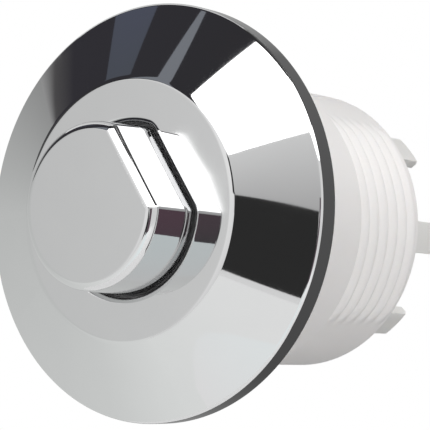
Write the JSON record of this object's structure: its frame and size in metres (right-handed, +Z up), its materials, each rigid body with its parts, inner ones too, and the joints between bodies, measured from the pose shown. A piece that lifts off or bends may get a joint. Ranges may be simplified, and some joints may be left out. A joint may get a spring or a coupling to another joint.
{
  "type": "push button cistern actuator",
  "caption": "Chrome D-shaped push button in a conical flange on a white threaded barrel; pressing it slides a sprung rod back to work a cistern's flush valve.",
  "frame": {"origin": "on the barrel's axis, in the plane of the flange's back, which seats on the panel", "axes": "+Y runs back along the barrel, away from the button's face; +Z is up; +X is to the right seen from behind the panel's front, facing the button"},
  "size_m": [0.07, 0.0792, 0.07],
  "materials": {
    "chrome_plate": "bright chrome plating on moulded plastic",
    "white_plastic": "moulded, satin",
    "guide_plastic": "moulded, satin",
    "spring_steel": "drawn stainless wire",
    "rod_steel": "turned stainless steel",
    "gasket_rubber": "matte moulded rubber"
  },
  "bodies": {
    "housing": {"bezel": "chrome_plate", "barrel": "white_plastic", "rear_guide": "guide_plastic", "seat_gasket": "gasket_rubber", "return_spring": "spring_steel"},
    "button": {"button_cap": "chrome_plate", "plunger": "guide_plastic", "push_rod": "rod_steel", "rod_nut": "rod_steel"}
  },
  "joints": [
    {"name": "button_press", "type": "slide", "parent": "housing", "child": "button", "axis": [0, 1, 0], "range_m": [0, 0.007], "stiffness_N_per_m": 600, "springref_m": -0.012, "deforming": ["return_spring"]}
  ]
}
